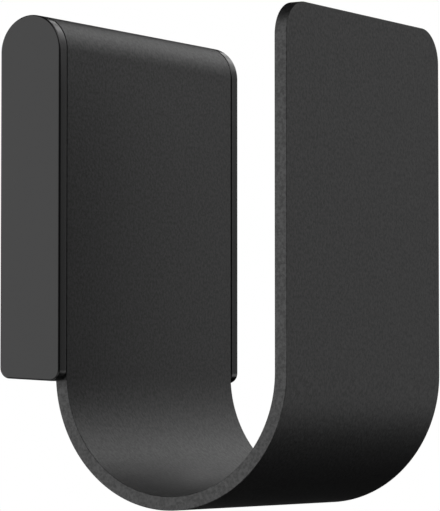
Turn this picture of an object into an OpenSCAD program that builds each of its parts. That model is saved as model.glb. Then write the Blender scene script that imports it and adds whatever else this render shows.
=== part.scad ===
// Wall hook for a charging cable: a bent steel strip that hangs on a moulded wall mount.
// Millimetres, +Z up. The wall is the plane y = 0, and the hook stands out of it towards -Y.
// The origin is midway between the two wall screw holes.

/* [Hook strip] */
// Width of the steel strip
strip_w = 75; // [66:1:110]
// Thickness of the strip, coating included
strip_t = 3.3; // [2.4:0.1:3.6]
// Radius inside the U bend, half the room for the cable
bend_r = 29.45; // [18:0.05:45]
// Height of the front leg above the centre of the U bend
front_leg_h = 87; // [40:0.5:130]
// Radius of the front leg's two top corners
leg_corner_r = 8.5; // [3:0.5:25]
// Rounding along the strip's edges
strip_edge_r = 0.15; // [0.1:0.05:1]
// Height of the flange that hooks behind the mount's shoulders
flange_h = 13; // [8:0.5:15]
// Width of the tongue that runs down to the lock screw
tongue_w = 20; // [14:0.5:24]
// Radius inside the bend between the tongue and its lip
lip_bend_r = 1.5; // [0.8:0.1:2]

/* [Wall mount] */
// Depth from the wall to the front of the cheeks
mount_depth = 17.8; // [17:0.1:24]
// How far the strip's face lies behind the front of the cheeks
strip_inset = 0.1; // [0:0.05:0.5]
// Height of the mount's round top above the wall screws
top_above_screws = 32; // [30:0.5:40]
// Height of the mount at the wall, from its underside to its round top
mount_h = 88.9; // [70:0.1:120]
// Height of the round top above the centre of the U bend
top_above_bend = 87.6; // [60:0.2:120]
// Slope of the underside, down towards the front
base_slope = 3; // [0:0.5:6]
// Radius of the cheeks' two bottom corners
base_corner_r = 2.7; // [1.2:0.1:4]
// Thickness of each cheek
cheek_t = 3.3; // [2:0.05:5]
// Rounding along the cheeks' edges
cheek_edge_r = 0.5; // [0.2:0.05:0.9]
// Wall thickness inside the moulding
mount_wall = 2.4; // [1.6:0.1:2.8]
// Thickness of the ribs between the walls
rib_t = 1.6; // [1:0.1:2.4]
// Thickness of the floor above the lock screw's head recess
floor_t = 2.4; // [1.6:0.1:4]

/* [Screws] */
// Distance between the two wall screw holes
wall_hole_gap = 46; // [44:0.5:52]
// Diameter of the wall screw holes
wall_hole_d = 5.2; // [3.5:0.1:6.5]
// Diameter of the recess for a wall screw's head
head_recess_d = 10.6; // [8:0.1:11]
// Depth of the recess for a wall screw's head
head_recess_h = 6; // [3:0.5:8]
// Diameter of the boss round a wall screw hole
boss_d = 13; // [12.4:0.2:15]
// Diameter of the lock screw's shank
lock_d = 4; // [3:0.5:4]
// Length of the lock screw's shank
lock_l = 10; // [8:0.5:20]
// Diameter of the lock screw's button head
lock_head_d = 7.6; // [6:0.1:8]
// Height of the lock screw's button head
lock_head_h = 2.2; // [1.6:0.1:3]
// Height of the rounded part of that head
lock_dome_h = 1.5; // [0.8:0.1:1.6]
// Width of the lock screw's hexagon socket, across its corners
lock_socket_d = 2.9; // [2:0.1:3.4]
// Depth of the lock screw's hexagon socket
lock_socket_h = 1.3; // [0.8:0.1:1.5]

/* [Clearances] */
// Gap between the strip's edges and the cheeks
side_gap = 0.15; // [0.1:0.05:0.8]
// Gap between the strip and the shoulders that it hangs on
fit_gap = 0.2; // [0.1:0.05:0.5]
// Gap between the strip's flange and the wall
wall_gap = 0.3; // [0.1:0.05:0.8]
// Gap round the lock screw's shank
shank_gap = 0.1; // [0.05:0.05:0.3]
// Gap round the lock screw's head, and under it to the mount's underside
head_gap = 0.3; // [0.1:0.05:0.6]
// Gap beside the tongue, in its channel
channel_gap = 0.8; // [0.3:0.1:2]

/* [Hidden] */
$fn = 64;
cut = 1;

// Heights
z_top = top_above_screws;
z_bend = z_top - top_above_bend;
z_base = z_top - mount_h;
z_blank = z_base - mount_depth;

// The strip's roll over the mount, and the nose of the shoulders inside it
strip_depth = mount_depth - strip_inset;
roll_r = (strip_depth - wall_gap) / 2;
roll_y = roll_r - strip_depth;
roll_z = z_top - roll_r;
nose_r = roll_r - strip_t - fit_gap;
flange_y = -wall_gap - strip_t / 2;

// The U bend and the front leg
back_leg_y = strip_t / 2 - strip_depth;
bend_y = -strip_depth - bend_r;
front_leg_y = bend_y - bend_r - strip_t / 2;
bend_mid_r = bend_r + strip_t / 2;
z_leg_top = z_bend + front_leg_h;

// The mount's core between its cheeks
core_y = roll_y - nose_r;
rail_y = roll_y + nose_r;
core_w = strip_w + 2 * side_gap;
step_z = roll_z - flange_h - fit_gap;
dome_r = mount_depth / 2;
cheek_x = core_w / 2 + cheek_t / 2;
channel_w = tongue_w + 2 * channel_gap;

// Centres of the cheeks' bottom corners, under which the underside slopes
corner_back = [-base_corner_r, z_base + base_corner_r];
corner_front = [
    base_corner_r - mount_depth,
    corner_back[1] - (mount_depth - 2 * base_corner_r) * tan(base_slope)
];

// How far those corners stand out, so that they cross the faces beside them
corner_over = 0.02;

// The lock screw stands under the middle of the lip's flat
lip_flat_back = flange_y - strip_t / 2 - lip_bend_r;
lip_flat_front = core_y + mount_wall + fit_gap;
lock_y = (lip_flat_back + lip_flat_front) / 2;
lock_seat_z = base_z(lock_y + lock_head_d / 2) + lock_head_h + head_gap;
floor_z = lock_seat_z + floor_t;
lip_z = floor_z + fit_gap + strip_t / 2;
lip_bend_z = lip_z + strip_t / 2 + lip_bend_r;

// Height of the sloping underside at a distance y from the wall
function base_z(y) =
    corner_back[1] - base_corner_r / cos(base_slope) + (y - corner_back[0]) * tan(base_slope);

// Stands a side view up: its X runs along Y, its Y along Z and its depth along X
module side_on() {
    rotate([90, 0, 90]) children();
}

// Half of a plate's section, flat at x = 0, with its two far corners rounded
module edge_section(reach, thickness, round_r) {
    square_reach = reach - round_r;
    translate([0, -thickness / 2]) square([square_reach, thickness]);
    translate([0, round_r - thickness / 2]) square([reach, thickness - 2 * round_r]);
    for (side = [-1, 1])
        translate([square_reach, side * (thickness / 2 - round_r)]) circle(round_r);
}

// A straight stretch of a plate's rounded edge, along +X, with the edge towards -Y
module edge_run(length, reach, thickness, round_r) {
    rotate([90, 0, 90])
        linear_extrude(length)
            rotate(180) edge_section(reach, thickness, round_r);
}

// A turn of a plate's rounded edge about the origin, from one direction to another
module edge_turn(from, to, reach, thickness, round_r) {
    rotate(from)
        rotate_extrude(angle = to - from)
            edge_section(reach, thickness, round_r);
}

// A plate's section, its width along X, with four rounded corners
module plate_section(width, thickness, round_r) {
    for (side = [0, 1])
        mirror([side, 0]) edge_section(width / 2, thickness, round_r);
}

// Section of the strip, its width along X
module strip_section(width) {
    plate_section(width, strip_t, strip_edge_r);
}

// A straight stretch of the strip, standing between two heights
module strip_run(y, z_low, z_high, width) {
    translate([0, y, z_low]) linear_extrude(z_high - z_low) strip_section(width);
}

// A bend of the strip about an axis along X, angles counted from +Y towards +Z
module strip_bend(y, z, mid_r, from, angle, width) {
    translate([0, y, z])
        side_on()
            rotate(from)
                rotate_extrude(angle = angle)
                    translate([mid_r, 0]) rotate(90) strip_section(width);
}

// The front leg's upper end, with two round corners
module leg_end() {
    flat_w = strip_w - 2 * leg_corner_r;
    translate([0, front_leg_y, z_leg_top - leg_corner_r])
        rotate([90, 0, 0]) {
            for (side = [0, 1])
                mirror([side, 0, 0])
                    translate([flat_w / 2, 0])
                        edge_turn(0, 90, leg_corner_r, strip_t, strip_edge_r);
            translate([flat_w / 2, 0])
                rotate(180)
                    edge_run(flat_w, leg_corner_r, strip_t, strip_edge_r);
        }
}

// The tongue's lip, bent forward over the mount's floor
module lip() {
    difference() {
        translate([0, lip_flat_front, lip_z])
            rotate([-90, 0, 0])
                linear_extrude(lip_flat_back - lip_flat_front) strip_section(tongue_w);
        translate([0, lock_y, lip_z])
            cylinder(d = lock_d + 2 * shank_gap, h = strip_t + 2 * cut, center = true);
    }
}

module hook_strip() {
    color([0.10, 0.10, 0.11]) {
        leg_end();
        strip_run(front_leg_y, z_bend, z_leg_top - leg_corner_r, strip_w);
        strip_bend(bend_y, z_bend, bend_mid_r, 180, 180, strip_w);
        strip_run(back_leg_y, z_bend, roll_z, strip_w);
        strip_bend(roll_y, roll_z, roll_r - strip_t / 2, 0, 180, strip_w);
        strip_run(flange_y, roll_z - flange_h, roll_z, strip_w);
        strip_run(flange_y, lip_bend_z, roll_z - flange_h, tongue_w);
        strip_bend(lip_flat_back, lip_bend_z, lip_bend_r + strip_t / 2, 270, 90, tongue_w);
        lip();
    }
}

// One cheek with its round top, left long below the base
module cheek_blank() {
    dome_z = z_top - dome_r;
    translate([0, -dome_r, dome_z])
        side_on() edge_turn(0, 180, dome_r, cheek_t, cheek_edge_r);
    translate([0, -dome_r, z_blank])
        linear_extrude(dome_z - z_blank)
            rotate(90) plate_section(mount_depth, cheek_t, cheek_edge_r);
}

// Side view of the mount behind the strip, left long below the base
module core_outline() {
    translate([roll_y, roll_z]) circle(nose_r);
    translate([core_y, step_z]) square([2 * nose_r, roll_z - step_z]);
    translate([core_y, z_blank]) square([-core_y, step_z - z_blank]);
}

// Side view of all that stands above the base, with its slope and its two round corners
module base_outline() {
    down = base_corner_r * [sin(base_slope), -cos(base_slope)];
    for (corner = [corner_front, corner_back])
        translate(corner) circle(base_corner_r + corner_over);
    polygon([corner_front, corner_front + down, corner_back + down, corner_back]);
    polygon([
        [-mount_depth - cut, corner_front[1]],
        corner_front,
        corner_back,
        [cut, corner_back[1]],
        [cut, z_top + cut],
        [-mount_depth - cut, z_top + cut]
    ]);
}

// Side view of the room inside a shoulder, open towards the wall
module pocket_outline() {
    pocket_y = core_y + mount_wall;
    translate([roll_y, roll_z]) circle(nose_r - mount_wall);
    translate([pocket_y, floor_z]) square([rail_y - pocket_y, roll_z - floor_z]);
    translate([pocket_y, floor_z]) square([cut - pocket_y, step_z - floor_z + cut]);
}

// A cylinder along Y, between two distances from the wall
module along_y(x, z, d, y_front, y_back) {
    translate([x, y_front, z]) rotate([-90, 0, 0]) cylinder(d = d, h = y_back - y_front);
}

// The room inside one shoulder, less the screw boss and its ribs
module shoulder_pocket() {
    pocket_x = channel_w / 2 + mount_wall;
    pocket_w = core_w / 2 - pocket_x;
    screw_x = wall_hole_gap / 2;
    past_wall = 2 * cut;
    rib_depth = past_wall - core_y;
    difference() {
        translate([pocket_x, 0, 0]) side_on() linear_extrude(pocket_w) pocket_outline();
        along_y(screw_x, 0, boss_d, core_y, past_wall);
        translate([pocket_x - cut, core_y, -rib_t / 2])
            cube([pocket_w + 2 * cut, rib_depth, rib_t]);
        translate([screw_x - rib_t / 2, core_y, floor_z - cut])
            cube([rib_t, rib_depth, z_top - floor_z]);
    }
}

// Channel for the tongue and its lip, open to the wall and at the top
module tongue_channel() {
    translate([-channel_w / 2, core_y + mount_wall, floor_z])
        cube([channel_w, cut - core_y - mount_wall, z_top - floor_z]);
}

module wall_mount() {
    color([0.16, 0.16, 0.17])
    difference() {
        intersection() {
            union() {
                for (side = [-1, 1])
                    translate([side * cheek_x, 0, 0]) cheek_blank();
                side_on() linear_extrude(2 * cheek_x, center = true) core_outline();
            }
            side_on() linear_extrude(2 * core_w, center = true) base_outline();
        }
        for (side = [0, 1])
            mirror([side, 0, 0]) {
                shoulder_pocket();
                along_y(wall_hole_gap / 2, 0, wall_hole_d, core_y - cut, cut);
                along_y(wall_hole_gap / 2, 0, head_recess_d, core_y - cut, core_y + head_recess_h);
            }
        tongue_channel();
        translate([0, lock_y, z_blank])
            cylinder(d = lock_head_d + 2 * head_gap, h = lock_seat_z - z_blank);
        translate([0, lock_y, lock_seat_z - cut])
            cylinder(d = lock_d + 2 * shank_gap, h = floor_t + 2 * cut);
    }
}

module lock_screw() {
    ball_r = (lock_dome_h * lock_dome_h + lock_head_d * lock_head_d / 4) / (2 * lock_dome_h);
    color([0.35, 0.35, 0.37])
    translate([0, lock_y, lock_seat_z]) {
        cylinder(d = lock_d, h = lock_l);
        difference() {
            translate([0, 0, -lock_head_h])
                intersection() {
                    cylinder(d = lock_head_d, h = lock_head_h);
                    translate([0, 0, ball_r]) sphere(ball_r);
                }
            translate([0, 0, -lock_head_h - cut])
                cylinder(d = lock_socket_d, h = lock_socket_h + cut, $fn = 6);
        }
    }
}

hook_strip();
wall_mount();
lock_screw();
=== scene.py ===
import bpy
import bmesh
import math
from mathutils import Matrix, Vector


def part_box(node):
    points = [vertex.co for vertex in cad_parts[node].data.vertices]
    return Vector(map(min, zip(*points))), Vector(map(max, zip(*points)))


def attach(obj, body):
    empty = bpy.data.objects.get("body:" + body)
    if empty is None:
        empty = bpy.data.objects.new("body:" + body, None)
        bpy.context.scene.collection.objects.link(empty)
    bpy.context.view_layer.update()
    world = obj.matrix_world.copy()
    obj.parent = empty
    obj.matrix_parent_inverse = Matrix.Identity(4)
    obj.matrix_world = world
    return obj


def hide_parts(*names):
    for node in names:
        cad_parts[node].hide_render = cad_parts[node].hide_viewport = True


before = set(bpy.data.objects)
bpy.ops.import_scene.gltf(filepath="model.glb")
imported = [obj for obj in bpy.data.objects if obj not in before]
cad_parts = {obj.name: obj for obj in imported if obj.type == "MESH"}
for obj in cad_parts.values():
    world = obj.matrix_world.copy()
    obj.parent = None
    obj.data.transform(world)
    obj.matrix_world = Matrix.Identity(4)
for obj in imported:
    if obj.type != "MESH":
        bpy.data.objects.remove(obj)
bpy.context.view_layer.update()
scene = bpy.context.scene
mm = 0.001
stripLow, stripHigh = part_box("hook_strip")
mountLow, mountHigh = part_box("wall_mount")
screwLow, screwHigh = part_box("lock_screw")
shankLength = 10 * mm
floorThickness = 2.4 * mm
lockY = (screwLow.y + screwHigh.y) / 2
seatZ = screwHigh.z - shankLength  # where the lock screw's head bears on the mount
floorZ = seatZ + floorThickness  # the mount's floor, under the strip's lip
weld = 1e-7  # points closer than this are one point
near = 1e-6  # lengths closer than this are the same
flatWeight = 90  # how far large faces rule the shading beside them, up to 100
print("frame loaded:", sorted(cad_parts))


# shared helpers for meshes

def newObject(name, data):
    piece = bpy.data.objects.new(name, data)
    scene.collection.objects.link(piece)
    return piece


def faceOutward(mesh, join=0):
    # turns every face outward, after joining points that are closer than join
    work = bmesh.new()
    work.from_mesh(mesh)
    if join:
        bmesh.ops.remove_doubles(work, verts=work.verts, dist=join)
    bmesh.ops.recalc_face_normals(work, faces=work.faces)
    work.to_mesh(mesh)
    work.free()


def meshObject(name, verts, faces):
    mesh = bpy.data.meshes.new(name)
    mesh.from_pydata([tuple(v) for v in verts], [], faces)
    faceOutward(mesh, weld)
    return newObject(name, mesh)


def makePlain(piece):
    # bakes the live modifiers into a plain mesh
    graph = bpy.context.evaluated_depsgraph_get()
    graph.update()
    baked = bpy.data.meshes.new_from_object(piece.evaluated_get(graph), depsgraph=graph)
    piece.modifiers.clear()
    old = piece.data
    piece.data = baked
    bpy.data.meshes.remove(old)
    piece.data.name = piece.name
    return piece


def combine(piece, tool, operation):
    step = piece.modifiers.new(operation, "BOOLEAN")
    step.operation = operation
    step.solver = "MANIFOLD"
    step.object = tool
    makePlain(piece)
    bpy.data.objects.remove(tool)


def cut(piece, tool):
    combine(piece, tool, "DIFFERENCE")


def smoothFlats(piece, sharpAngle):
    # smooth shading whose flats stay flat beside the small roundings
    piece.data.shade_smooth()
    piece.data.set_sharp_from_angle(angle=math.radians(sharpAngle))
    weigh = piece.modifiers.new("flatNormals", "WEIGHTED_NORMAL")
    weigh.mode = "FACE_AREA"
    weigh.weight = flatWeight
    weigh.keep_sharp = True
    return makePlain(piece)


def arcPoints(centre, radius, start, stop, steps, hollow=False):
    # points of an arc with the direction that leads out of the material
    side = -1 if hollow else 1
    points = []
    for i in range(steps + 1):
        a = math.radians(start + (stop - start) * i / steps)
        c, s = math.cos(a), math.sin(a)
        points.append((centre[0] + radius * c, centre[1] + radius * s, side * c, side * s))
    return points


def placesOf(points):
    return [(p[0], p[1]) for p in points]


def plateRings(outline, thickness, edgeRadius, steps):
    # rings of a plate with rounded edges, from its low face to its high face
    rings = []
    flat = thickness / 2 - edgeRadius
    turns = [-90 + 90 * i / steps for i in range(steps + 1)]
    turns += [90 * i / steps for i in range(steps + 1)]
    for i, turn in enumerate(turns):
        a = math.radians(turn)
        inset = edgeRadius * (1 - math.cos(a))
        lift = edgeRadius * math.sin(a) + (flat if i > steps else -flat)
        rings.append([(x - nx * inset, y - ny * inset, lift) for x, y, nx, ny in outline])
    return rings


def ringFaces(ringCount, count):
    faces = []
    for r in range(ringCount - 1):
        low, high = r * count, (r + 1) * count
        for i in range(count):
            j = (i + 1) % count
            faces.append((low + i, low + j, high + j, high + i))
    return faces


def solidFaces(ringCount, count):
    # the faces between the rings, and the first and the last ring filled
    last = (ringCount - 1) * count
    return ringFaces(ringCount, count) + [list(range(count)), list(range(last, last + count))]


# shared helpers for node trees

def addNode(tree, kind, inputs, **settings):
    # a node with its settings, whose inputs each get a value or a link from a socket
    node = tree.nodes.new(kind)
    for name, value in settings.items():
        setattr(node, name, value)
    for key, value in inputs.items():
        if isinstance(value, bpy.types.NodeSocket):
            tree.links.new(value, node.inputs[key])
        else:
            node.inputs[key].default_value = value
    return node


def calc(tree, operation, *values):
    node = addNode(tree, "ShaderNodeMath", dict(enumerate(values)), operation=operation)
    return node.outputs["Value"]


def limit(tree, value):
    # keeps a value between 0 and 1
    return calc(tree, "MINIMUM", calc(tree, "MAXIMUM", value, 0), 1)


def vectorCalc(tree, operation, *values):
    kind, inputs = "ShaderNodeVectorMath", dict(enumerate(values))
    node = addNode(tree, kind, inputs, operation=operation)
    return node.outputs["Value" if operation in ("LENGTH", "DOT_PRODUCT") else "Vector"]


def scaled(tree, vector, factor):
    inputs = {0: vector, "Scale": factor}
    return addNode(tree, "ShaderNodeVectorMath", inputs, operation="SCALE").outputs["Vector"]


def smoothStep(tree, value, low, high, top=1):
    # rises smoothly from 0 at low to top at high
    inputs = {"Value": value, "From Min": low, "From Max": high, "To Max": top}
    node = addNode(tree, "ShaderNodeMapRange", inputs, interpolation_type="SMOOTHSTEP")
    return node.outputs["Result"]


def geometryTree(name, kinds):
    # a tree from geometry to geometry, with one more input for each name and kind of socket
    tree = bpy.data.node_groups.new(name, "GeometryNodeTree")
    face, ids = tree.interface, {}
    face.new_socket("Geometry", in_out="INPUT", socket_type="NodeSocketGeometry")
    for title, kind in kinds.items():
        ids[title] = face.new_socket(title, in_out="INPUT", socket_type=kind).identifier
    face.new_socket("Geometry", in_out="OUTPUT", socket_type="NodeSocketGeometry")
    return tree, tree.nodes.new("NodeGroupInput"), ids


def endTree(tree, geometry, material):
    # makes the result real, gives it its material and hands it out
    real = addNode(tree, "GeometryNodeRealizeInstances", {"Geometry": geometry})
    finish = {"Geometry": real.outputs["Geometry"], "Material": material}
    coated = addNode(tree, "GeometryNodeSetMaterial", finish)
    addNode(tree, "NodeGroupOutput", {"Geometry": coated.outputs["Geometry"]})


def runTree(piece, tree, ids, values):
    # runs a tree on a piece with its inputs set by name, and keeps the result as a plain mesh
    step = piece.modifiers.new(tree.name, "NODES")
    step.node_group = tree
    for name, value in values.items():
        step[ids[name]] = value
    makePlain(piece)


# materials

noiseSpan = (0.3, 0.7)  # nearly all of a noise's values lie in here


def nodeMaterial(name):
    material = bpy.data.materials.new(name)
    material.use_nodes = True
    return material, material.node_tree, material.node_tree.nodes["Principled BSDF"]


def grainNoise(tree, scale, detail, roughness=0.5):
    where = tree.nodes.new("ShaderNodeTexCoord").outputs["Object"]
    inputs = {"Vector": where, "Scale": scale, "Detail": detail, "Roughness": roughness}
    return addNode(tree, "ShaderNodeTexNoise", inputs).outputs["Fac"]


def spread(tree, source, low, high, span=noiseSpan):
    # stretches a span of a noise's values over the range from low to high
    inputs = {"Value": source, "From Min": span[0], "From Max": span[1]}
    inputs.update({"To Min": low, "To Max": high})
    return addNode(tree, "ShaderNodeMapRange", inputs).outputs["Result"]


def setTint(tree, shader, finish, source, span=noiseSpan):
    share = spread(tree, source, 0, 1, span)
    inputs = {"Factor": share, "A": finish["dark"], "B": finish["light"]}
    tint = addNode(tree, "ShaderNodeMix", inputs, data_type="RGBA")
    tree.links.new(tint.outputs["Result"], shader.inputs["Base Color"])


def setRoughness(tree, shader, finish, source):
    rough = spread(tree, source, finish["roughLow"], finish["roughHigh"])
    tree.links.new(rough, shader.inputs["Roughness"])


def addBump(tree, source, strength, height, under=None):
    inputs = {"Height": source, "Strength": strength, "Distance": height}
    if under is not None:
        inputs["Normal"] = under
    return addNode(tree, "ShaderNodeBump", inputs).outputs["Normal"]


coat = {
    "dark": (0.0030, 0.0030, 0.0031, 1),
    "light": (0.0110, 0.0110, 0.0113, 1),
    "grainScale": 1150,  # grains of a little under a millimetre
    "grainDetail": 3.0,
    "speckleScale": 1350,  # a finer one, for the colour and the gloss
    "speckleDetail": 2.0,
    "noiseRoughness": 0.6,
    "tintSpan": (0.38, 0.62),
    "glossSpan": (0.36, 0.64),
    "dullest": 0.54,
    "brightest": 0.78,
    "roughLow": 0.43,
    "roughHigh": 0.47,
    "grainBump": 0.6,
    "grainHeight": 0.08 * mm,
    "speckleBump": 0.15,
    "speckleHeight": 0.04 * mm,
    "ior": 1.5,
}


def powderCoat():
    material, tree, shader = nodeMaterial("powderCoat")
    rough = coat["noiseRoughness"]
    grain = grainNoise(tree, coat["grainScale"], coat["grainDetail"], rough)
    speckle = grainNoise(tree, coat["speckleScale"], coat["speckleDetail"], rough)
    setTint(tree, shader, coat, speckle, coat["tintSpan"])
    setRoughness(tree, shader, coat, grain)
    gloss = spread(tree, speckle, coat["dullest"], coat["brightest"], coat["glossSpan"])
    tree.links.new(gloss, shader.inputs["Specular IOR Level"])
    fine = addBump(tree, grain, coat["grainBump"], coat["grainHeight"])
    both = addBump(tree, speckle, coat["speckleBump"], coat["speckleHeight"], fine)
    tree.links.new(both, shader.inputs["Normal"])
    shader.inputs["IOR"].default_value = coat["ior"]
    return material


moulding = {
    "dark": (0.0062, 0.0062, 0.0065, 1),
    "light": (0.0078, 0.0078, 0.0082, 1),
    "fineScale": 900,  # the fine eroded finish of the mould
    "fineDetail": 3.0,
    "fineRoughness": 0.55,
    "flowScale": 28,  # broad clouds from the plastic's flow
    "flowDetail": 2.0,
    "roughLow": 0.19,
    "roughHigh": 0.21,
    "bump": 0.004,
    "bumpHeight": 0.03 * mm,
    "ior": 1.5,
}


def mouldedPlastic():
    material, tree, shader = nodeMaterial("mouldedPlastic")
    rough = moulding["fineRoughness"]
    fine = grainNoise(tree, moulding["fineScale"], moulding["fineDetail"], rough)
    flow = grainNoise(tree, moulding["flowScale"], moulding["flowDetail"])
    setTint(tree, shader, moulding, flow)
    setRoughness(tree, shader, moulding, fine)
    bump = addBump(tree, fine, moulding["bump"], moulding["bumpHeight"])
    tree.links.new(bump, shader.inputs["Normal"])
    shader.inputs["IOR"].default_value = moulding["ior"]
    return material


screwFinish = {
    "dark": (0.30, 0.30, 0.31, 1),
    "light": (0.46, 0.46, 0.47, 1),
    "toolScale": 5200,
    "toolDetail": 3.0,
    "roughLow": 0.24,
    "roughHigh": 0.42,
    "bump": 0.15,
    "bumpHeight": 0.02 * mm,
}


def screwSteel():
    material, tree, shader = nodeMaterial("screwSteel")
    marks = grainNoise(tree, screwFinish["toolScale"], screwFinish["toolDetail"])
    setTint(tree, shader, screwFinish, marks)
    setRoughness(tree, shader, screwFinish, marks)
    bump = addBump(tree, marks, screwFinish["bump"], screwFinish["bumpHeight"])
    tree.links.new(bump, shader.inputs["Normal"])
    shader.inputs["Metallic"].default_value = 1.0
    return material


coatMaterial = powderCoat()
plasticMaterial = mouldedPlastic()
steelMaterial = screwSteel()
print("materials made")


# the hook strip: a flat blank with rounded edges, bent along its path

strip = {
    "thickness": 3.3 * mm,
    "edgeRadius": 0.15 * mm,
    "edgeSteps": 4,
    "cornerRadius": 8.5 * mm,  # of the front leg's top corners
    "cornerSteps": 20,
    "legHeight": 87 * mm,  # of the front leg, above the middle of the U
    "bendRadius": 29.45 * mm,  # inside the U
    "bendSteps": 96,
    "depth": 17.7 * mm,  # from the wall to the back leg's face
    "wallGap": 0.3 * mm,
    "rollSteps": 56,
    "flangeHeight": 13 * mm,
    "flangeCorner": 1.5 * mm,
    "tongueWidth": 20 * mm,
    "tongueRoot": 0.9 * mm,
    "rootSteps": 6,
    "lipBend": 1.5 * mm,
    "lipBendSteps": 14,
    "lipHeight": 1.85 * mm,  # middle of the lip above the mount's floor
    "lipCorner": 1.0 * mm,
    "smallSteps": 8,  # of the flange's and the lip's corners
    "holeRadius": 2.1 * mm,
    "holeSteps": 20,  # of half the hole
    "sharpAngle": 50,
}


def stripPath():
    # middle line of the strip as (y, z) points, the length run at each, and that at three marks
    t = strip["thickness"]
    legY = stripLow.y + t / 2
    bendMid = strip["bendRadius"] + t / 2
    bendY, bendZ = legY + bendMid, stripLow.z + bendMid + t / 2
    backY = bendY + bendMid
    rollMid = (strip["depth"] - strip["wallGap"] - t) / 2
    rollY, rollZ = backY + rollMid, stripHigh.z - rollMid - t / 2
    flangeY = rollY + rollMid
    lipMid = strip["lipBend"] + t / 2
    lipZ = floorZ + strip["lipHeight"]
    lipY = flangeY - lipMid
    lipEnd = 2 * lockY - lipY  # the screw stands in the middle of the lip
    points, rows = [], {}

    def add(y, z, mark=None):
        if mark:
            rows[mark] = len(points)
        points.append((y, z))

    def bend(y, z, radius, start, stop, steps):
        for i in range(1, steps + 1):
            a = math.radians(start + (stop - start) * i / steps)
            add(y + radius * math.cos(a), z + radius * math.sin(a))

    add(legY, bendZ + strip["legHeight"])
    add(legY, bendZ)
    bend(bendY, bendZ, bendMid, 180, 360, strip["bendSteps"])
    add(backY, rollZ)
    bend(rollY, rollZ, rollMid, 180, 0, strip["rollSteps"])
    add(flangeY, rollZ - strip["flangeHeight"], "flangeEnd")
    add(flangeY, lipZ + lipMid)
    bend(lipY, lipZ + lipMid, lipMid, 0, -90, strip["lipBendSteps"])
    add(lockY, lipZ, "hole")
    add(lipEnd, lipZ, "end")
    runs = [0.0]
    for (y0, z0), (y1, z1) in zip(points, points[1:]):
        runs.append(runs[-1] + math.hypot(y1 - y0, z1 - z0))
    return points, runs, {mark: runs[row] for mark, row in rows.items()}


def blankOutline(runs, marks):
    # right half of the outline as (x, run, outX, outRun), with the last row of the wide part,
    # the first row of the tongue and the row of the hole
    half = (stripHigh.x - stripLow.x) / 2
    tongue = strip["tongueWidth"] / 2
    corner, wide = strip["cornerRadius"], strip["flangeCorner"]
    root, lip = strip["tongueRoot"], strip["lipCorner"]
    flangeRun, endRun = marks["flangeEnd"], marks["end"]
    right = arcPoints((half - corner, corner), corner, -90, 0, strip["cornerSteps"])
    right += [(half, r, 1, 0) for r in runs if corner + near < r < flangeRun - near]
    lastWide = len(right) - 1
    right += arcPoints((half - wide, flangeRun - wide), wide, 0, 90, strip["smallSteps"])
    foot = (tongue + root, flangeRun + root)
    right += arcPoints(foot, root, -90, -180, strip["rootSteps"], hollow=True)
    firstTongue = len(right) - 1
    right += [(tongue, r, 1, 0) for r in runs if flangeRun + root + near < r < endRun - lip]
    holeRow = next(i for i, p in enumerate(right) if abs(p[1] - marks["hole"]) < near)
    right += arcPoints((tongue - lip, endRun - lip), lip, 0, 90, strip["smallSteps"])
    return right, lastWide, firstTongue, holeRow


def flatBlank(runs, marks):
    right, lastWide, firstTongue, holeRow = blankOutline(runs, marks)
    outline = right + [(-x, r, -nx, nr) for x, r, nx, nr in reversed(right)]
    half, count = len(right), len(outline)
    rings = plateRings(outline, strip["thickness"], strip["edgeRadius"], strip["edgeSteps"])
    verts = [v for ring in rings for v in ring]
    faces = ringFaces(len(rings), count)
    holeR, steps = strip["holeRadius"], strip["holeSteps"]
    holes = []
    # the two flat faces: rows across the strip, with one larger face round the flange's foot
    # and two round the hole
    for ring in (0, len(rings) - 1):
        first = ring * count
        onRight = list(range(first, first + half))
        onLeft = list(range(first + count - 1, first + half - 1, -1))
        for i in range(half - 1):
            if lastWide <= i < firstTongue or i in (holeRow - 1, holeRow):
                continue
            faces.append((onRight[i], onRight[i + 1], onLeft[i + 1], onLeft[i]))
        foot = slice(lastWide, firstTongue + 1)
        faces.append(onRight[foot] + onLeft[foot][::-1])
        hole = list(range(len(verts), len(verts) + 2 * steps))
        holes.append(hole)
        for i in range(2 * steps):
            a = math.pi * i / steps
            x, run = holeR * math.cos(a), marks["hole"] + holeR * math.sin(a)
            verts.append((x, run, rings[ring][0][2]))
        above = [onLeft[holeRow - 1], onRight[holeRow - 1], onRight[holeRow], hole[0]]
        above += hole[:steps:-1] + [hole[steps], onLeft[holeRow]]
        below = [onRight[holeRow], onRight[holeRow + 1], onLeft[holeRow + 1], onLeft[holeRow]]
        below += hole[steps:0:-1] + [hole[0]]
        faces += [above, below]
    low, high = holes
    for i in range(2 * steps):
        j = (i + 1) % (2 * steps)
        faces.append((low[i], low[j], high[j], high[i]))
    return meshObject("hookStrip", verts, faces)


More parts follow.
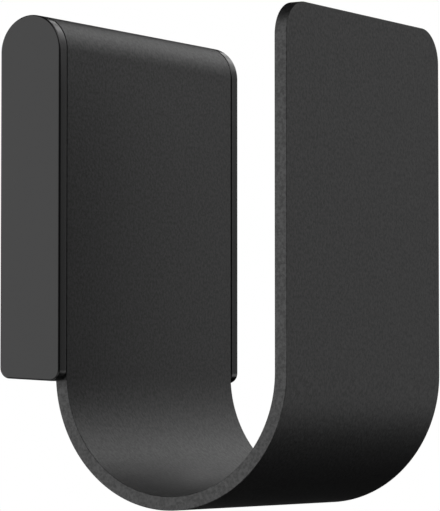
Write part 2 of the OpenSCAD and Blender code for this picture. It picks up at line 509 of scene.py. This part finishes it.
def bendTree(material):
    # lays a flat blank along a path: X is across it, Y the run, Z the distance from the middle
    tree, start, ids = geometryTree("bendAlongPath", {"Path": "NodeSocketObject"})
    path = addNode(tree, "GeometryNodeObjectInfo", {"Object": start.outputs["Path"]})
    where = tree.nodes.new("GeometryNodeInputPosition").outputs["Position"]
    split = addNode(tree, "ShaderNodeSeparateXYZ", {"Vector": where}).outputs
    run = {"Curves": path.outputs["Geometry"], "Length": split["Y"]}
    sample = addNode(tree, "GeometryNodeSampleCurve", run, mode="LENGTH").outputs
    side = vectorCalc(tree, "CROSS_PRODUCT", sample["Tangent"], (1, 0, 0))
    out = scaled(tree, vectorCalc(tree, "NORMALIZE", side), split["Z"])
    onPath = vectorCalc(tree, "ADD", sample["Position"], out)
    across = addNode(tree, "ShaderNodeCombineXYZ", {"X": split["X"]}).outputs["Vector"]
    place = vectorCalc(tree, "ADD", onPath, across)
    bent = {"Geometry": start.outputs["Geometry"], "Position": place}
    moved = addNode(tree, "GeometryNodeSetPosition", bent)
    endTree(tree, moved.outputs["Geometry"], material)
    return tree, ids


def makeStrip():
    points, runs, marks = stripPath()
    line = bpy.data.curves.new("stripPath", "CURVE")
    line.dimensions = "3D"
    spline = line.splines.new("POLY")
    spline.points.add(len(points) - 1)
    for p, (y, z) in zip(spline.points, points):
        p.co = (0, y, z, 1)
    path = newObject("stripPath", line)
    piece = flatBlank(runs, marks)
    tree, ids = bendTree(coatMaterial)
    runTree(piece, tree, ids, {"Path": path})
    bpy.data.objects.remove(path)
    faceOutward(piece.data)
    return smoothFlats(piece, strip["sharpAngle"])


hookStrip = makeStrip()
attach(hookStrip, "root")
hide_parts("hook_strip")
print("hook strip:", len(hookStrip.data.polygons), "faces")


# the wall mount: two cheeks on a hollow core with ribs and screw bosses

mount = {
    "cheek": 3.3 * mm,
    "edgeRadius": 0.5 * mm,
    "edgeSteps": 6,
    "domeSteps": 96,
    "slope": 3.0,  # of the underside, in degrees
    "cornerRadius": 2.7 * mm,
    "cornerSteps": 14,
    "height": 88.9 * mm,  # at the wall
    "wall": 2.4 * mm,
    "rib": 1.6 * mm,
    "noseRadius": 5.2 * mm,
    "noseSteps": 40,
    "pocketSteps": 24,
    "stepDrop": 13.2 * mm,  # from the roll's middle to the step under the flange
    "channel": 21.6 * mm,
    "screwGap": 46 * mm,
    "screwHole": 5.2 * mm,
    "recess": 10.6 * mm,
    "recessDepth": 6 * mm,
    "boss": 13 * mm,
    "lockRecess": 8.2 * mm,
    "lockHole": 4.2 * mm,
    "roundSteps": 64,
    "flush": 0.03 * mm,  # the core stays this far inside the cheeks' back and underside
    "over": 1 * mm,  # cuts run this far past what they cut
    "behind": 4 * mm,  # ribs and bosses run this far past the wall plane in the pockets' tools
    "sharpAngle": 30,
}

# lines that the core, its pockets and its holes share
rollR = (strip["depth"] - strip["wallGap"]) / 2
rollY, rollZ = rollR - strip["depth"], mountHigh.z - rollR
coreY, railY = rollY - mount["noseRadius"], rollY + mount["noseRadius"]
pocketY = coreY + mount["wall"]
stepZ = rollZ - mount["stepDrop"]
cornerZ = mountHigh.z - mount["height"] + mount["cornerRadius"]
slopeAngle = math.radians(mount["slope"])


def prismX(name, outline, xLow, xHigh):
    # a side view (y, z) drawn out along X
    verts = [(x, y, z) for x in (xLow, xHigh) for y, z in outline]
    return meshObject(name, verts, solidFaces(2, len(outline)))


def box(name, low, high):
    outline = [(low[1], low[2]), (high[1], low[2]), (high[1], high[2]), (low[1], high[2])]
    return prismX(name, outline, low[0], high[0])


def roundBar(name, axis, middle, diameter, low, high):
    # a round bar along Y or Z, about a middle given in the other two directions
    verts, steps, r = [], mount["roundSteps"], diameter / 2
    for along in (low, high):
        for i in range(steps):
            a = 2 * math.pi * i / steps
            u, v = middle[0] + r * math.cos(a), middle[1] + r * math.sin(a)
            verts.append((u, along, v) if axis == "Y" else (u, v, along))
    return meshObject(name, verts, solidFaces(2, steps))


def makeCheek(side):
    # side view: round top, straight front and back, sloping underside with round corners
    depth, r = mountHigh.y - mountLow.y, mount["cornerRadius"]
    dome, steps = depth / 2, mount["cornerSteps"]
    frontZ = cornerZ - (depth - 2 * r) * math.tan(slopeAngle)
    outline = arcPoints((-dome, mountHigh.z - dome), dome, 0, 180, mount["domeSteps"])
    outline += arcPoints((r - depth, frontZ), r, 180, 270 + mount["slope"], steps)
    outline += arcPoints((-r, cornerZ), r, 270 + mount["slope"], 360, steps)
    middle = side * (mountHigh.x - mount["cheek"] / 2)
    rings = plateRings(outline, mount["cheek"], mount["edgeRadius"], mount["edgeSteps"])
    verts = [(middle + lift, y, z) for ring in rings for y, z, lift in ring]
    return meshObject("cheek", verts, solidFaces(len(rings), len(outline)))


def makeCore():
    # side view: the nose in the strip's roll, the front, the underside, the back and the step
    r, flush = mount["cornerRadius"], mount["flush"]
    frontZ = cornerZ - r / math.cos(slopeAngle) + (coreY + r) * math.tan(slopeAngle) + flush
    nose = arcPoints((rollY, rollZ), mount["noseRadius"], 0, 180, mount["noseSteps"])
    foot = arcPoints((-r, cornerZ), r - flush, 270 + mount["slope"], 360, mount["cornerSteps"])
    side = placesOf(nose) + [(coreY, frontZ)] + placesOf(foot)
    side += [(-flush, stepZ), (railY, stepZ)]
    reach = mountHigh.x - mount["cheek"] / 2  # the core runs into the cheeks
    return prismX("wallMount", side, -reach, reach)


def pocketRoom(side):
    # room inside a shoulder, less its screw boss and its two ribs
    over, behind = mount["over"], mount["behind"]
    halfRib, screwX = mount["rib"] / 2, side * mount["screwGap"] / 2
    innerR = mount["noseRadius"] - mount["wall"]
    hollow = arcPoints((rollY, rollZ), innerR, 0, 180, mount["pocketSteps"])
    outline = [(railY + over, rollZ)] + placesOf(hollow)
    outline += [(pocketY, floorZ), (over, floorZ)]
    outline += [(over, stepZ + over), (railY + over, stepZ + over)]
    channelSide = mount["channel"] / 2 + mount["wall"]
    cheekSide = mountHigh.x - mount["cheek"]
    low, high = sorted((side * channelSide, side * cheekSide))
    room = prismX("pocket", outline, low, high)
    cut(room, roundBar("boss", "Y", (screwX, 0), mount["boss"], coreY, behind))
    ribEnds = (low - over, coreY, -halfRib), (high + over, behind, halfRib)
    cut(room, box("ribAcross", *ribEnds))
    ribEnds = (screwX - halfRib, coreY, floorZ - over), (screwX + halfRib, behind, mountHigh.z)
    cut(room, box("ribUp", *ribEnds))
    return room


def makeMount():
    over, halfChannel = mount["over"], mount["channel"] / 2
    piece = makeCore()
    for side in (-1, 1):
        combine(piece, makeCheek(side), "UNION")
    print("wall mount: cheeks joined")
    front, recessEnd = coreY - over, coreY + mount["recessDepth"]
    for side in (-1, 1):
        middle = (side * mount["screwGap"] / 2, 0)
        cut(piece, pocketRoom(side))
        cut(piece, roundBar("screwHole", "Y", middle, mount["screwHole"], front, over))
        cut(piece, roundBar("recess", "Y", middle, mount["recess"], front, recessEnd))
    channelEnds = (-halfChannel, pocketY, floorZ), (halfChannel, over, mountHigh.z)
    cut(piece, box("channel", *channelEnds))
    middle = (0, lockY)
    cut(piece, roundBar("lockRecess", "Z", middle, mount["lockRecess"], mountLow.z - over, seatZ))
    cut(piece, roundBar("lockHole", "Z", middle, mount["lockHole"], seatZ - over, floorZ + over))
    print("wall mount: pockets and holes cut")
    piece.data.materials.clear()
    piece.data.materials.append(plasticMaterial)
    return smoothFlats(piece, mount["sharpAngle"])


wallMount = makeMount()
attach(wallMount, "root")
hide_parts("wall_mount")
print("wall mount:", len(wallMount.data.polygons), "faces")


# the lock screw: a button head with a hexagon socket, and a rolled thread

lock = {
    "segments": 48,
    "shank": 4.0 * mm,
    "pitch": 0.7 * mm,
    "threadDepth": 0.38 * mm,
    "flankGain": 1.3,  # the thread's flanks rise from a flat root to a flat crest
    "crestShare": 0.15,
    "rowsPerTurn": 10,
    "runOut": 1.2 * mm,  # plain length under the head
    "tipChamfer": 0.45 * mm,
    "head": 7.6 * mm,
    "headHeight": 2.2 * mm,
    "headEdge": 0.18 * mm,
    "edgeSteps": 3,
    "domeHeight": 1.5 * mm,
    "domeSteps": 12,
    "socketFlats": 2.5 * mm,
    "socketDepth": 1.3 * mm,
    "socketMouth": 0.14 * mm,
    "wallShort": 0.3 * mm,  # the hexagon's walls and the cone under them end short of the depth
    "coneShort": 0.08 * mm,
    "coneShare": 0.4,
    "sharpAngle": 38,
}


def threadTree(material):
    # presses a helical thread into an upright round bar about its own axis
    names = ("Pitch", "Depth", "Start", "End", "Fade")
    kinds = {name: "NodeSocketFloat" for name in names}
    tree, start, ids = geometryTree("rollThread", kinds)
    given = start.outputs
    where = tree.nodes.new("GeometryNodeInputPosition").outputs["Position"]
    split = addNode(tree, "ShaderNodeSeparateXYZ", {"Vector": where}).outputs
    height = split["Z"]
    turn = calc(tree, "DIVIDE", calc(tree, "ARCTAN2", split["Y"], split["X"]), 2 * math.pi)
    rise = calc(tree, "DIVIDE", height, given["Pitch"])
    phase = calc(tree, "FRACT", calc(tree, "SUBTRACT", rise, turn))
    fold = calc(tree, "SUBTRACT", calc(tree, "MULTIPLY", phase, 2), 1)
    groove = calc(tree, "SUBTRACT", 1, calc(tree, "ABSOLUTE", fold))
    steep = calc(tree, "MULTIPLY", groove, lock["flankGain"])
    flank = limit(tree, calc(tree, "SUBTRACT", steep, lock["crestShare"]))
    fromStart = calc(tree, "SUBTRACT", height, given["Start"])
    fromEnd = calc(tree, "SUBTRACT", given["End"], height)
    ends = [calc(tree, "DIVIDE", far, given["Fade"]) for far in (fromStart, fromEnd)]
    within = limit(tree, calc(tree, "MINIMUM", *ends))
    sink = calc(tree, "MULTIPLY", calc(tree, "MULTIPLY", flank, within), given["Depth"])
    outward = vectorCalc(tree, "NORMALIZE", vectorCalc(tree, "MULTIPLY", where, (1, 1, 0)))
    push = scaled(tree, outward, calc(tree, "MULTIPLY", sink, -1))
    pressed = {"Geometry": given["Geometry"], "Offset": push}
    moved = addNode(tree, "GeometryNodeSetPosition", pressed)
    endTree(tree, moved.outputs["Geometry"], material)
    return tree, ids


def lockRings():
    # (radius, height, whether a hexagon) from the shank's tip down to the head and up to the
    # socket's bottom, with the seat at height 0
    shankR, headR = lock["shank"] / 2, lock["head"] / 2
    length = shankLength
    chamfer, edge = lock["tipChamfer"], lock["headEdge"]
    rings = [((shankR - chamfer) / 2, length, False), (shankR - chamfer, length, False)]
    rows = round((length - chamfer) / lock["pitch"] * lock["rowsPerTurn"])
    rings += [(shankR, (length - chamfer) * (1 - i / rows), False) for i in range(rows + 1)]
    rings += [((shankR + headR) / 2, 0, False), (headR - edge, 0, False)]
    for i in range(1, lock["edgeSteps"] + 1):
        a = math.radians(90 * i / lock["edgeSteps"])
        rings.append((headR - edge + edge * math.sin(a), edge * (math.cos(a) - 1), False))
    dome, low = lock["domeHeight"], -lock["headHeight"]
    ballR = (dome * dome + headR * headR) / (2 * dome)
    mouthR = lock["socketFlats"] / 2 / math.cos(math.radians(30)) + lock["socketMouth"]
    for i in range(lock["domeSteps"] + 1):
        r = headR + (mouthR - headR) * i / lock["domeSteps"]
        rings.append((r, low + ballR - math.sqrt(ballR * ballR - r * r), False))
    mouth, bottom = rings[-1][1], low + lock["socketDepth"]
    rings.append((mouthR, mouth + lock["socketMouth"], True))
    rings.append((mouthR, bottom - lock["wallShort"], True))
    rings.append((lock["coneShare"] * mouthR, bottom - lock["coneShort"], False))
    return rings


def makeLock():
    count, verts = lock["segments"], []
    rings = lockRings()
    for radius, height, hexagon in rings:
        for i in range(count):
            a = 2 * math.pi * i / count
            off = math.radians((math.degrees(a) % 60) - 30)
            r = lock["socketFlats"] / 2 / math.cos(off) if hexagon else radius
            verts.append((r * math.cos(a), r * math.sin(a), height))
    piece = meshObject("lockScrew", verts, solidFaces(len(rings), count))
    tree, ids = threadTree(steelMaterial)
    runTree(piece, tree, ids, {
        "Pitch": lock["pitch"],
        "Depth": lock["threadDepth"],
        "Start": lock["runOut"],
        "End": shankLength + lock["pitch"] / 2,
        "Fade": lock["pitch"],
    })
    for v in piece.data.vertices:  # the finished screw's place goes into its mesh
        v.co += Vector((0, lockY, seatZ))
    return smoothFlats(piece, lock["sharpAngle"])


lockScrew = makeLock()
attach(lockScrew, "root")
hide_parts("lock_screw")
print("lock screw:", len(lockScrew.data.polygons), "faces")


# stage: floor, camera, lights

stage = {
    "floorDrop": 0.60,  # the floor lies well below a hook that hangs on a wall
    "floorRadius": 0.34,
    "floorSteps": 96,
    "fadeStart": 0.15,
    "floorColour": (0.80, 0.80, 0.80, 1),
    "floorRoughness": 0.9,
    "floorSpecular": 0.1,
    "floorGlow": 0.62,  # brings the lit floor up to the white of the background
}


def floorMaterial():
    material, tree, shader = nodeMaterial("paleFloor")
    shader.inputs["Base Color"].default_value = stage["floorColour"]
    shader.inputs["Roughness"].default_value = stage["floorRoughness"]
    shader.inputs["Specular IOR Level"].default_value = stage["floorSpecular"]
    where = tree.nodes.new("ShaderNodeTexCoord").outputs["Object"]
    far = vectorCalc(tree, "LENGTH", vectorCalc(tree, "MULTIPLY", where, (1, 1, 0)))
    fade = smoothStep(tree, far, stage["fadeStart"], stage["floorRadius"])
    rays = tree.nodes.new("ShaderNodeLightPath").outputs
    shown = calc(tree, "MAXIMUM", rays["Is Camera Ray"], rays["Is Glossy Ray"])
    shown = calc(tree, "MAXIMUM", shown, rays["Is Transmission Ray"])
    level = calc(tree, "MULTIPLY", shown, stage["floorGlow"])
    glow = addNode(tree, "ShaderNodeEmission", {"Strength": level}).outputs["Emission"]
    lit = addNode(tree, "ShaderNodeAddShader", {0: shader.outputs["BSDF"], 1: glow})
    clear = tree.nodes.new("ShaderNodeBsdfTransparent").outputs["BSDF"]
    shares = {"Fac": fade, 1: lit.outputs["Shader"], 2: clear}
    mix = addNode(tree, "ShaderNodeMixShader", shares)
    tree.links.new(mix.outputs["Shader"], tree.nodes["Material Output"].inputs["Surface"])
    return material


def makeFloor():
    steps, r = stage["floorSteps"], stage["floorRadius"]
    z = stripLow.z - stage["floorDrop"]
    verts = [(0, 0, z)]
    for i in range(steps):
        a = 2 * math.pi * i / steps
        verts.append((r * math.cos(a), r * math.sin(a), z))
    faces = [(0, 1 + i, 1 + (i + 1) % steps) for i in range(steps)]
    floor = meshObject("floor", verts, faces)
    floor.data.materials.append(floorMaterial())
    return floor


makeFloor()

view = {
    "place": (-0.6232, -0.43128, -0.0639),
    "yaw": 57.743,  # from +Y towards +X, in degrees
    "pitch": 2.945,
    "lens": 207.9,
    "sensor": 36,
    "clip": (0.01, 50),
}


def makeCamera():
    data = bpy.data.cameras.new("camera")
    data.sensor_width = view["sensor"]
    data.lens = view["lens"]
    data.clip_start, data.clip_end = view["clip"]
    camera = newObject("camera", data)
    yaw, pitch = math.radians(view["yaw"]), math.radians(view["pitch"])
    level = math.cos(pitch)
    ahead = Vector((math.sin(yaw) * level, math.cos(yaw) * level, math.sin(pitch)))
    camera.location = view["place"]
    camera.rotation_mode = "QUATERNION"
    camera.rotation_quaternion = ahead.to_track_quat("-Z", "Y")
    scene.camera = camera


makeCamera()

studio = {
    "fill": 0.02,  # even light that only rough scattering sees
    "lobes": [  # direction, inner and outer angle, strength
        ((-0.83, 0.51, 0.20), 27, 50, 1.43),  # left panel, for the cheek and the strip's edges
        ((0.0, -0.75, 0.70), 5, 35, 1.75),  # soft top light from the front
        ((0.58, -0.74, 0.31), 5, 32, 0.82),  # light from the front right, over the front leg
        ((1.0, 0.0, 0.05), 2, 24, 0.62),  # light from the right
        ((-0.845, -0.533, 0.0), 5, 45, 0.05),  # faint light from the camera's side
        ((-0.15, 0.93, -0.33), 8, 32, 1.4),  # panel for the back
        ((0.54, 0.79, -0.28), 5, 22, 1.5),  # panels that only the other sides mirror
        ((-0.58, -0.58, -0.57), 5, 24, 1.0),
        ((0.05, -0.87, -0.48), 5, 26, 0.8),
    ],
    "barSide": 0.8446,  # how far right the bar of light stands
    "bar": [  # turn about X from the back, inner and outer angle, strength
        (66, 1, 7, 1.46),
        (90, 1, 7, 0.44),
        (102, 1, 7, 0.57),
        (80, 3, 20, 0.42),
        (110, 3, 20, 1.18),
        (197, 2, 12, 0.36),
        (206, 2, 12, 0.74),
    ],
}


def allLobes():
    across, reach = studio["barSide"], math.sqrt(1 - studio["barSide"] ** 2)
    lobes = list(studio["lobes"])
    for turn, inner, outer, strength in studio["bar"]:
        a = math.radians(turn)
        direction = (across, reach * math.cos(a), reach * math.sin(a))
        lobes.append((direction, inner, outer, strength))
    return lobes


def makeWorld():
    world = bpy.data.worlds.new("studio")
    scene.world = world
    world.use_nodes = True
    tree = world.node_tree
    where = tree.nodes.new("ShaderNodeTexCoord").outputs["Generated"]
    panels = None
    for direction, inner, outer, strength in allLobes():
        toward = vectorCalc(tree, "DOT_PRODUCT", where, Vector(direction).normalized())
        low, high = math.cos(math.radians(outer)), math.cos(math.radians(inner))
        lobe = smoothStep(tree, toward, low, high, strength)
        panels = lobe if panels is None else calc(tree, "ADD", panels, lobe)
    filled = calc(tree, "ADD", panels, studio["fill"])
    # gloss shows the white panels, camera and see-through rays show the white background
    rays = tree.nodes.new("ShaderNodeLightPath").outputs
    inputs = {"Factor": rays["Is Glossy Ray"], "A": filled, "B": panels}
    light = addNode(tree, "ShaderNodeMix", inputs).outputs["Result"]
    seen = calc(tree, "MAXIMUM", rays["Is Camera Ray"], rays["Is Transmission Ray"])
    choose = addNode(tree, "ShaderNodeMix", {"Factor": seen, "A": light, "B": 1.0})
    background = tree.nodes["Background"]
    tree.links.new(choose.outputs["Result"], background.inputs["Strength"])
    background.inputs["Color"].default_value = (1, 1, 1, 1)


makeWorld()
scene.view_settings.view_transform = "Standard"
print("stage, camera and lights set")
